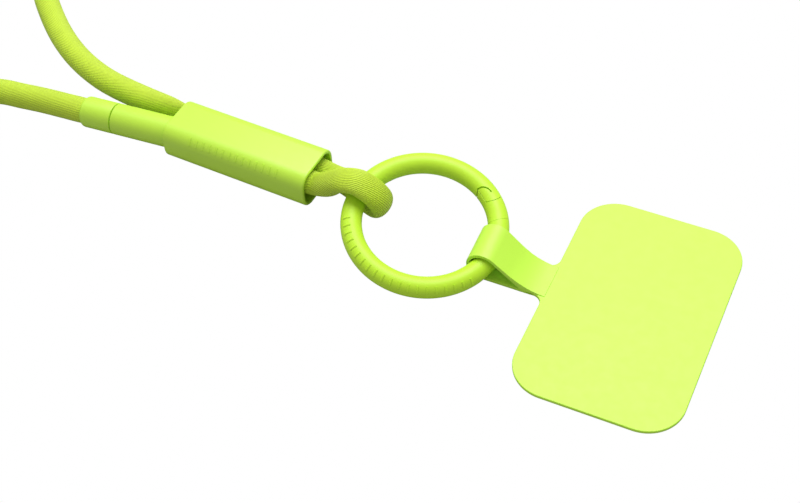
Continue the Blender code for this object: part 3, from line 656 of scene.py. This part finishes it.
def sleeve_ring(x, inset):
    """A rounded rectangle across the sleeve, this far in from its outer face."""
    radius = SLEEVE_ROUND - inset
    points = []
    for side_y, side_z, start in ((1, 1, 0), (-1, 1, 90), (-1, -1, 180), (1, -1, 270)):
        for step in range(17):
            turn = math.radians(start + 90 * step / 16)
            y = side_y * (sleeve_wide / 2 - SLEEVE_ROUND) + radius * math.cos(turn)
            z = side_z * (sleeve_tall / 2 - SLEEVE_ROUND) + radius * math.sin(turn)
            points.append(Vector((x, (sleeve_low.y + sleeve_high.y) / 2 + y, sleeve_middle_z + z)))
    return points


wall_profile = corner_arc(sleeve_high.x - SLEEVE_RIM_OUT, SLEEVE_RIM_OUT, SLEEVE_RIM_OUT, 270, 360)
wall_profile += corner_arc(sleeve_high.x - SLEEVE_RIM_IN, SLEEVE_WALL - SLEEVE_RIM_IN, SLEEVE_RIM_IN, 0, 90)
wall_profile += corner_arc(sleeve_low.x + SLEEVE_RIM_IN, SLEEVE_WALL - SLEEVE_RIM_IN, SLEEVE_RIM_IN, 90, 180)
wall_profile += corner_arc(sleeve_low.x + SLEEVE_RIM_OUT, SLEEVE_RIM_OUT, SLEEVE_RIM_OUT, 180, 270)
rings = [sleeve_ring(x, inset) for x, inset in wall_profile]
sleeve_tube = plain_piece(
    "sleeve_tube", [point for ring in rings for point in ring], rows_joined(len(rings), len(rings[0])))
sleeve_tube.data.materials.append(moulded_lime)
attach(sleeve_tube, "sleeve")
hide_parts("sleeve")


def bar_tree(name, curve_kind):
    """Geometry nodes that set small bent bars along a straight line or along an arc. Each bar is an arc
    across the path, at a lean from its outer side. Lengths are in metres, and angles in radians."""
    bars = bpy.data.node_groups.new(name, "GeometryNodeTree")
    face = bars.interface
    face.new_socket("Geometry", in_out="INPUT", socket_type="NodeSocketGeometry")
    for label, kind, value in (
        ("Count", "NodeSocketInt", 10), ("Path Radius", "NodeSocketFloat", 0.01),
        ("Path Start", "NodeSocketFloat", 0.0), ("Path Sweep", "NodeSocketFloat", 1.0),
        ("Path Length", "NodeSocketFloat", 0.01), ("Bar Radius", "NodeSocketFloat", 0.003),
        ("Bar Thickness", "NodeSocketFloat", 0.0003), ("Bar Sweep", "NodeSocketFloat", 0.5),
        ("Lean Start", "NodeSocketFloat", 0.0), ("Lean End", "NodeSocketFloat", 0.0),
    ):
        face.new_socket(label, in_out="INPUT", socket_type=kind).default_value = value
    face.new_socket("Finish", in_out="INPUT", socket_type="NodeSocketMaterial")
    face.new_socket("Geometry", in_out="OUTPUT", socket_type="NodeSocketGeometry")
    add = bars.nodes.new
    link = bars.links.new
    given = add("NodeGroupInput").outputs
    index = add("GeometryNodeInputIndex").outputs[0]
    last = math_node(bars, "SUBTRACT", given["Count"], 1.0)
    share = math_node(bars, "DIVIDE", index, last)
    line = add("GeometryNodeMeshLine")
    link(given["Count"], line.inputs["Count"])
    place = add("ShaderNodeCombineXYZ")
    if curve_kind == "arc":
        angle = math_node(bars, "MULTIPLY_ADD", share, given["Path Sweep"], given["Path Start"])
        link(math_node(bars, "MULTIPLY", given["Path Radius"], math_node(bars, "COSINE", angle)),
             place.inputs["X"])
        link(math_node(bars, "MULTIPLY", given["Path Radius"], math_node(bars, "SINE", angle)),
             place.inputs["Y"])
    else:
        angle = None
        link(math_node(bars, "MULTIPLY", share, given["Path Length"]), place.inputs["Y"])
    moved = add("GeometryNodeSetPosition")
    link(line.outputs["Mesh"], moved.inputs["Geometry"])
    link(place.outputs[0], moved.inputs["Position"])
    # The bar: an arc in the XZ plane about the path, counted from +X, with a round section and closed ends.
    arc = add("GeometryNodeCurveArc")
    arc.mode = "RADIUS"
    arc.inputs["Resolution"].default_value = 9
    link(given["Bar Radius"], arc.inputs["Radius"])
    half_back = math_node(bars, "MULTIPLY", given["Bar Sweep"], -0.5)
    link(half_back, arc.inputs["Start Angle"])
    link(given["Bar Sweep"], arc.inputs["Sweep Angle"])
    stand = add("GeometryNodeTransform")
    stand.inputs["Rotation"].default_value = (math.radians(90), 0, 0)
    link(arc.outputs["Curve"], stand.inputs["Geometry"])
    section = add("GeometryNodeCurvePrimitiveCircle")
    section.inputs["Resolution"].default_value = 10
    link(given["Bar Thickness"], section.inputs["Radius"])
    swept = add("GeometryNodeCurveToMesh")
    swept.inputs["Fill Caps"].default_value = True
    link(stand.outputs["Geometry"], swept.inputs["Curve"])
    link(section.outputs["Curve"], swept.inputs["Profile Curve"])
    copies = add("GeometryNodeInstanceOnPoints")
    link(moved.outputs["Geometry"], copies.inputs["Points"])
    link(swept.outputs["Mesh"], copies.inputs["Instance"])
    lean_now = math_node(bars, "MULTIPLY_ADD", share,
                           math_node(bars, "SUBTRACT", given["Lean End"], given["Lean Start"]),
                           given["Lean Start"])
    turn = add("ShaderNodeCombineXYZ")
    link(math_node(bars, "MULTIPLY", lean_now, -1.0), turn.inputs["Y"])
    if angle is not None:
        link(angle, turn.inputs["Z"])
    link(turn.outputs[0], copies.inputs["Rotation"])
    real = add("GeometryNodeRealizeInstances")
    link(copies.outputs["Instances"], real.inputs["Geometry"])
    smooth = add("GeometryNodeSetShadeSmooth")
    link(real.outputs["Geometry"], smooth.inputs["Geometry"])
    finish = add("GeometryNodeSetMaterial")
    link(smooth.outputs["Geometry"], finish.inputs["Geometry"])
    link(given["Finish"], finish.inputs["Material"])
    link(finish.outputs["Geometry"], add("NodeGroupOutput").inputs[0])
    return bars


def applied(piece):
    """Makes the result of a piece's modifiers its own plain mesh, which it returns."""
    graph = bpy.context.evaluated_depsgraph_get()
    made = bpy.data.meshes.new_from_object(piece.evaluated_get(graph))
    piece.modifiers.clear()
    piece.data = made
    return made


def bars_piece(name, bars, values, place):
    """The bars that a tree makes with these values, as a plain mesh in its place."""
    piece = bpy.data.objects.new(name, bpy.data.meshes.new(name))
    bpy.context.scene.collection.objects.link(piece)
    maker = piece.modifiers.new("bars", "NODES")
    maker.node_group = bars
    for item in bars.interface.items_tree:
        if item.in_out == "INPUT" and item.name in values:
            maker[item.identifier] = values[item.name]
    made = applied(piece)
    made.transform(place)
    if place.determinant() < 0:
        made.flip_normals()         # a mirrored place turns the faces inwards
    return piece


edge_lean = math.radians(138)
edge_centre = Vector((
    sleeve_low.x + 0.0081, sleeve_low.y + SLEEVE_ROUND, sleeve_high.z - SLEEVE_ROUND,
))
# The line's own +Y runs along the sleeve, +X is towards +Y of the lanyard and +Z is up.
line_place = Matrix.Translation(edge_centre) @ Matrix(
    ((0, 1, 0, 0), (1, 0, 0, 0), (0, 0, 1, 0), (0, 0, 0, 1)))
sleeve_bars = bars_piece("sleeve_bars", bar_tree("bars_on_a_line", "line"), {
    "Count": BAR_COUNT, "Path Length": BAR_PITCH * (BAR_COUNT - 1),
    "Bar Radius": SLEEVE_ROUND - BAR_THICK + BAR_RISE,
    "Bar Thickness": BAR_THICK, "Bar Sweep": math.radians(BAR_SWEEP), "Lean Start": edge_lean,
    "Lean End": edge_lean, "Finish": moulded_lime,
}, line_place)
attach(sleeve_bars, "sleeve")

# ---- Ring frame -----------------------------------------------------------------------------------------
# A cast zinc ring with a satin lime coating. It is open where the gate closes it, and forked at the hinge,
# where a fine arch-shaped joint shows on its face. A row of small raised bars follows its near side.
EAR_PROUD = 0.0002
SLOT_PROUD = 0.00045
TONGUE_PROUD = 0.0003
SLOT_HEIGHT = 0.0031
RUNNING = 0.00015
GATE_END_AT = math.radians(27.5)
GATE_SPREAD = 82.0
GATE_SWING = 35.0
PIN_DIAMETER = 0.0013
PIN_SINK = 0.0005               # the coated skin over each end of the pin
END_ROOM = 0.00003              # half the fine joint at the gate's free end
ARCH_CENTRE = (0.0003, -0.0023)
ARCH_RADIUS = 0.0022
ARCH_GAP = 0.00040
RING_BARS = 20
RING_BAR_THICK = 0.00036
RING_BAR_RISE = 0.00020

gate_heading = PIN_AT - math.radians(90)
gate_place = ring_place @ Matrix.Translation(
    RING_RADIUS * Vector((math.cos(PIN_AT), math.sin(PIN_AT), 0))) @ Matrix.Rotation(gate_heading, 4, "Z")
gate_reach = 2 * RING_RADIUS * math.sin((PIN_AT - GATE_END_AT) / 2)
ear_radius = RING_TUBE / 2 + EAR_PROUD
slot_radius = RING_TUBE / 2 + SLOT_PROUD
tongue_radius = RING_TUBE / 2 + TONGUE_PROUD


def ring_bar(name, around=240, across=48):
    """The ring's whole round bar."""
    points = []
    faces = []
    for step in range(around):
        turn = 2 * math.pi * step / around
        for side in range(across):
            lean = 2 * math.pi * side / across
            reach = RING_RADIUS + RING_TUBE / 2 * math.cos(lean)
            spot = Vector((reach * math.cos(turn), reach * math.sin(turn), RING_TUBE / 2 * math.sin(lean)))
            points.append(ring_place @ spot)
            after_step, after_side = (step + 1) % around, (side + 1) % across
            faces.append((step * across + side, after_step * across + side,
                          after_step * across + after_side, step * across + after_side))
    return plain_piece(name, points, faces)


def flat_arc(radius, start, end, steps, centre=(0.0, 0.0)):
    """Points of an arc about a centre, with its angles in degrees."""
    return corner_arc(centre[0], centre[1], radius, start, end, steps)


def hinge_cutter(outline, low, high):
    """An outline in the hinge's own plane, +X towards the gate's free end, drawn out from low to high."""
    points = [gate_place @ Vector((x, y, low)) for x, y in outline]
    points += [gate_place @ Vector((x, y, high)) for x, y in outline]
    count = len(outline)
    faces = [tuple(range(count)), tuple(range(count, 2 * count))]
    for index in range(count):
        after = (index + 1) % count
        faces.append((index, after, count + after, count + index))
    return plain_piece("cutter", points, faces)


def shaped(piece, steps):
    """Applies a list of (operation, cutter) Booleans in turn, and removes the cutters."""
    for operation, cutter in steps:
        work = piece.modifiers.new("cut", "BOOLEAN")
        work.operation = operation
        work.solver = "EXACT"
        work.object = cutter
    made = applied(piece)
    for operation, cutter in steps:
        bpy.data.objects.remove(cutter)
    made.shade_smooth()
    made.set_sharp_from_angle(angle=math.radians(30))
    return piece


pin_half = RING_TUBE / 2 - PIN_SINK
inmost = -GATE_SPREAD - GATE_SWING
opening = flat_arc(gate_reach + END_ROOM, inmost, GATE_SPREAD, 64)
opening += flat_arc(ear_radius, GATE_SPREAD, inmost, 48)
slot_outline = flat_arc(slot_radius, 90, 270, 40)
slot_outline += [(ear_radius * 2, -slot_radius), (ear_radius * 2, slot_radius)]
arch = flat_arc(ARCH_RADIUS + ARCH_GAP, 84, 265, 48, ARCH_CENTRE)
arch += flat_arc(ARCH_RADIUS, 265, 84, 48, ARCH_CENTRE)
pin_room = flat_arc(PIN_DIAMETER / 2 + RUNNING / 2, 0, 354, 59)
ring_body = shaped(ring_bar("ring_body"), [
    ("DIFFERENCE", hinge_cutter(opening, -RING_TUBE, RING_TUBE)),
    ("DIFFERENCE", hinge_cutter(slot_outline, -SLOT_HEIGHT / 2, SLOT_HEIGHT / 2)),
    ("DIFFERENCE", hinge_cutter(arch, SLOT_HEIGHT / 2 - 0.0002, RING_TUBE)),
    ("DIFFERENCE", hinge_cutter(arch, -RING_TUBE, 0.0002 - SLOT_HEIGHT / 2)),
    ("DIFFERENCE", hinge_cutter(pin_room, -pin_half - END_ROOM, pin_half + END_ROOM)),
])
coated_lime, shader = satin_material("coated_lime", (0.50, 0.80, 0.02), 0.5, 0.000006)
ring_body.data.materials.clear()
ring_body.data.materials.append(coated_lime)
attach(ring_body, "ring")
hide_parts("ring_frame")

ring_bars = bars_piece("ring_bars", bar_tree("bars_on_an_arc", "arc"), {
    "Count": RING_BARS, "Path Radius": RING_RADIUS, "Path Start": math.radians(208),
    "Path Sweep": math.radians(122), "Bar Radius": RING_TUBE / 2 - RING_BAR_THICK + RING_BAR_RISE,
    "Bar Thickness": RING_BAR_THICK, "Bar Sweep": math.radians(40),
    "Lean Start": math.radians(66), "Lean End": math.radians(34), "Finish": coated_lime,
}, ring_place)
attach(ring_bars, "ring")

# ---- Gate -----------------------------------------------------------------------------------------------
# A short bar cast and coated like the ring. Its round tongue turns between the frame's two ears on the pin,
# and a pocket in the tongue holds the spring that closes it.
POCKET_RADIUS = 0.0016
POCKET_DEPTH = 0.0017

shoulder = ear_radius + RUNNING
tongue_top = SLOT_HEIGHT / 2 - RUNNING
keep = flat_arc(gate_reach - END_ROOM, -GATE_SPREAD, GATE_SPREAD, 60) + flat_arc(tongue_radius, 90, 270, 40)
ear_room = flat_arc(shoulder, 0, 354, 59)
pocket = flat_arc(POCKET_RADIUS, 0, 354, 59)
gate_bar = shaped(ring_bar("gate_bar"), [
    ("INTERSECT", hinge_cutter(keep, -RING_TUBE, RING_TUBE)),
    ("DIFFERENCE", hinge_cutter(ear_room, tongue_top, RING_TUBE)),
    ("DIFFERENCE", hinge_cutter(ear_room, -RING_TUBE, -tongue_top)),
    ("DIFFERENCE", hinge_cutter(pin_room, -RING_TUBE, RING_TUBE)),
    ("DIFFERENCE", hinge_cutter(pocket, tongue_top - POCKET_DEPTH, RING_TUBE)),
])
gate_bar.data.materials.clear()
gate_bar.data.materials.append(coated_lime)
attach(gate_bar, "gate")
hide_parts("ring_gate")

# ---- Hinge pin ------------------------------------------------------------------------------------------
# A plain drawn steel pin pressed through the ears. Its ends stop below the ring's surface, and are filled and
# coated over, so that nothing of it shows on the ring's face.
pin_round = PIN_DIAMETER / 2
pin_profile = [(-pin_half, AXIS)]
pin_profile += corner_arc(-pin_half + 0.0001, pin_round - 0.0001, 0.0001, 180, 90, 4)
pin_profile += corner_arc(pin_half - 0.0001, pin_round - 0.0001, 0.0001, 90, 0, 4) + [(pin_half, AXIS)]
pin_place = gate_place @ Matrix.Rotation(math.radians(90), 4, "Y")
hinge_pin = turned_piece("hinge_pin", pin_profile, pin_place)
hinge_pin.data.materials.append(coated_lime)
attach(hinge_pin, "ring")
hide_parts("gate_hinge_pin")

# ---- Return spring --------------------------------------------------------------------------------------
# Three turns of bright spring wire round the pin, in the tongue's pocket. They are out of sight when the gate
# is closed.
SPRING_WIRE = 0.00032
SPRING_TURNS = 3.0

spring_tree = bpy.data.node_groups.new("wound_wire", "GeometryNodeTree")
spring_tree.interface.new_socket("Geometry", in_out="INPUT", socket_type="NodeSocketGeometry")
for label in ("Turns", "Radius", "Rise", "Wire Radius"):
    spring_tree.interface.new_socket(label, in_out="INPUT", socket_type="NodeSocketFloat")
spring_tree.interface.new_socket("Finish", in_out="INPUT", socket_type="NodeSocketMaterial")
spring_tree.interface.new_socket("Geometry", in_out="OUTPUT", socket_type="NodeSocketGeometry")
add = spring_tree.nodes.new
link = spring_tree.links.new
given = add("NodeGroupInput").outputs
wound = add("GeometryNodeCurveSpiral")
wound.inputs["Resolution"].default_value = 32
link(given["Turns"], wound.inputs["Rotations"])
link(given["Radius"], wound.inputs["Start Radius"])
link(given["Radius"], wound.inputs["End Radius"])
link(given["Rise"], wound.inputs["Height"])
wire = add("GeometryNodeCurvePrimitiveCircle")
wire.inputs["Resolution"].default_value = 12
link(given["Wire Radius"], wire.inputs["Radius"])
swept = add("GeometryNodeCurveToMesh")
swept.inputs["Fill Caps"].default_value = True
link(wound.outputs["Curve"], swept.inputs["Curve"])
link(wire.outputs["Curve"], swept.inputs["Profile Curve"])
real = add("GeometryNodeRealizeInstances")
link(swept.outputs["Mesh"], real.inputs["Geometry"])
rounded = add("GeometryNodeSetShadeSmooth")
link(real.outputs["Geometry"], rounded.inputs["Geometry"])
finish = add("GeometryNodeSetMaterial")
link(rounded.outputs["Geometry"], finish.inputs["Geometry"])
link(given["Finish"], finish.inputs["Material"])
link(finish.outputs["Geometry"], add("NodeGroupOutput").inputs[0])

drawn_wire, shader = satin_material("drawn_wire", (0.56, 0.57, 0.58), 0.3, 0.000004)
shader.inputs["Metallic"].default_value = 1.0
spring_base = gate_place @ Matrix.Translation((0, 0, tongue_top - POCKET_DEPTH + RUNNING + SPRING_WIRE / 2))
return_spring = bars_piece("return_spring", spring_tree, {
    "Turns": SPRING_TURNS, "Radius": (pin_round + POCKET_RADIUS) / 2,
    "Rise": POCKET_DEPTH - 2 * RUNNING - SPRING_WIRE, "Wire Radius": SPRING_WIRE / 2, "Finish": drawn_wire,
}, spring_base)
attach(return_spring, "gate")
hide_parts("gate_return_spring")

# ---- Card -----------------------------------------------------------------------------------------------
# One thin smooth sheet, die-cut with round corners. Its tab folds over the ring's tube, comes back below and
# is bonded to itself. The upper layer slopes down from the fold, to a faint crease at the card's edge.
CARD_LENGTH = 0.0386
CARD_WIDTH = 0.0600
CARD_THICKNESS = 0.0009
CARD_CORNER = 0.0090
CARD_FROM_HINGE = 0.0148
CARD_ASIDE = -0.00055
CARD_TURN = math.radians(3.0)
TAB_WIDTH = 0.0094
TAB_THICKNESS = 0.0008
TAB_FILLET = 0.0024
TAB_FOLD_INNER = 0.0032
TAB_BOND_START = 0.0090
CREASE_STEP = 0.00012
EDGE_ROUND = 0.00022
TAB_EDGE_ROUND = 0.00015

card_place = Matrix.Translation(Vector(joints["card_swing"]["pos_m"])) @ Matrix.Rotation(CARD_TURN, 4, "Z")
card_low = -joints["card_swing"]["pos_m"][2]
card_far = CARD_FROM_HINGE + CARD_LENGTH
half_tab = TAB_WIDTH / 2
near_side = CARD_ASIDE - CARD_WIDTH / 2 + CARD_CORNER
far_side = CARD_ASIDE + CARD_WIDTH / 2 - CARD_CORNER
left_middle, right_middle = CARD_FROM_HINGE + CARD_CORNER, card_far - CARD_CORNER
card_outline = [(TAB_BOND_START + 0.0015, -half_tab)]
card_outline += corner_arc(CARD_FROM_HINGE - TAB_FILLET, -half_tab - TAB_FILLET, TAB_FILLET, 90, 0, 12)
card_outline += corner_arc(left_middle, near_side, CARD_CORNER, 180, 270, 28)
card_outline += corner_arc(right_middle, near_side, CARD_CORNER, 270, 360, 28)
card_outline += corner_arc(right_middle, far_side, CARD_CORNER, 0, 90, 28)
card_outline += corner_arc(left_middle, far_side, CARD_CORNER, 90, 180, 28)
card_outline += corner_arc(CARD_FROM_HINGE - TAB_FILLET, half_tab + TAB_FILLET, TAB_FILLET, 0, -90, 12)
card_outline += [(TAB_BOND_START + 0.0015, half_tab)]


def drawn_out(outlines):
    """Points and faces between outlines of equal length, closed at both ends."""
    count = len(outlines[0])
    points = [point for outline in outlines for point in outline]
    faces = []
    for row in range(len(outlines) - 1):
        for index in range(count):
            after = (index + 1) % count
            faces.append((row * count + index, row * count + after,
                          (row + 1) * count + after, (row + 1) * count + index))
    faces += [tuple(range(count)), tuple(range(len(points) - count, len(points)))]
    return points, faces


def soft_edged(piece, width, segments, angle, hardened):
    """Rounds a sheet's sharp edges, and puts it in the card's place."""
    soften = piece.modifiers.new("edge", "BEVEL")
    soften.width = width
    soften.segments = segments
    soften.limit_method = "ANGLE"
    soften.angle_limit = math.radians(angle)
    soften.harden_normals = hardened
    applied(piece).transform(card_place)


flat = [[(x, y, z) for x, y in card_outline] for z in (card_low, card_low + CARD_THICKNESS)]
card_sheet = plain_piece("card_sheet", *drawn_out(flat))
soft_edged(card_sheet, EDGE_ROUND, 3, 50, True)


def tangent_turn(point, radius, side):
    """The angle at which a line from a point touches a circle about the hinge, above or below."""
    return math.degrees(math.atan2(point[1], point[0]) + side * math.acos(radius / math.hypot(*point)))


def eased(before, corner, after, steps=10):
    """A smooth turn from one point to another round a corner."""
    points = []
    for step in range(steps + 1):
        t = step / steps
        points.append(tuple((1 - t) ** 2 * a + 2 * t * (1 - t) * b + t * t * c
                            for a, b, c in zip(before, corner, after)))
    return points


fold_outer = TAB_FOLD_INNER + TAB_THICKNESS
tab_slope = ring_y.z / math.hypot(ring_y.x, ring_y.y)
tab_end = CARD_FROM_HINGE + 0.0004
crease_top = card_low + CARD_THICKNESS + CREASE_STEP
bend = (TAB_BOND_START + 0.0007, card_low + 2 * TAB_THICKNESS)
upper_turn = tangent_turn(bend, fold_outer, 1)
lower_turn = tangent_turn((TAB_BOND_START, card_low), fold_outer, -1)
fold_top = (fold_outer * math.cos(math.radians(upper_turn)), fold_outer * math.sin(math.radians(upper_turn)))
share = 0.55
ease_from = tuple(share * a + (1 - share) * b for a, b in zip(fold_top, bend))
ease_to = (tab_end - 0.0012, crease_top + 0.0001)
tab_profile = [(TAB_BOND_START, card_low)] + [(tab_end, card_low + 0.0001), (tab_end, crease_top)]
tab_profile += list(reversed(eased(ease_from, bend, ease_to, 14)))
tab_profile += corner_arc(0, 0, fold_outer, upper_turn, lower_turn + 360, 48)
wedge = card_low + TAB_THICKNESS
wedge_upper = tangent_turn((TAB_BOND_START, wedge + 0.0001), TAB_FOLD_INNER, 1)
wedge_lower = tangent_turn((TAB_BOND_START, wedge), TAB_FOLD_INNER, -1)
hollow = corner_arc(0, 0, TAB_FOLD_INNER, wedge_upper, wedge_lower + 360, 48)
hollow += [(TAB_BOND_START, wedge), (TAB_BOND_START, wedge + 0.0001)]


def fold_rows(profile, half_across, columns=12):
    """The fold's side view drawn across the tab, leaning with the tube at the fold and level at the bond."""
    rows = []
    for column in range(columns + 1):
        y = half_across * (2 * column / columns - 1)
        row = []
        for x, z in profile:
            lean_share = min(1.0, max(0.0, (TAB_BOND_START - x) / (TAB_BOND_START - 0.001)))
            row.append((x, y, z + tab_slope * y * lean_share))
        rows.append(row)
    return rows


tab_solid = plain_piece("card_tab", *drawn_out(fold_rows(tab_profile, half_tab)))
tab_hollow = plain_piece("tab_hollow", *drawn_out(fold_rows(hollow, half_tab * 1.2)))
card_tab = shaped(tab_solid, [("DIFFERENCE", tab_hollow)])
soft_edged(card_tab, TAB_EDGE_ROUND, 2, 60, False)

sheet_lime, shader = satin_material("sheet_lime", (0.52, 0.86, 0.06), 0.48, 0.000005, 0.04)
for piece in (card_sheet, card_tab):
    piece.data.materials.clear()
    piece.data.materials.append(sheet_lime)
    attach(piece, "card")
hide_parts("card")
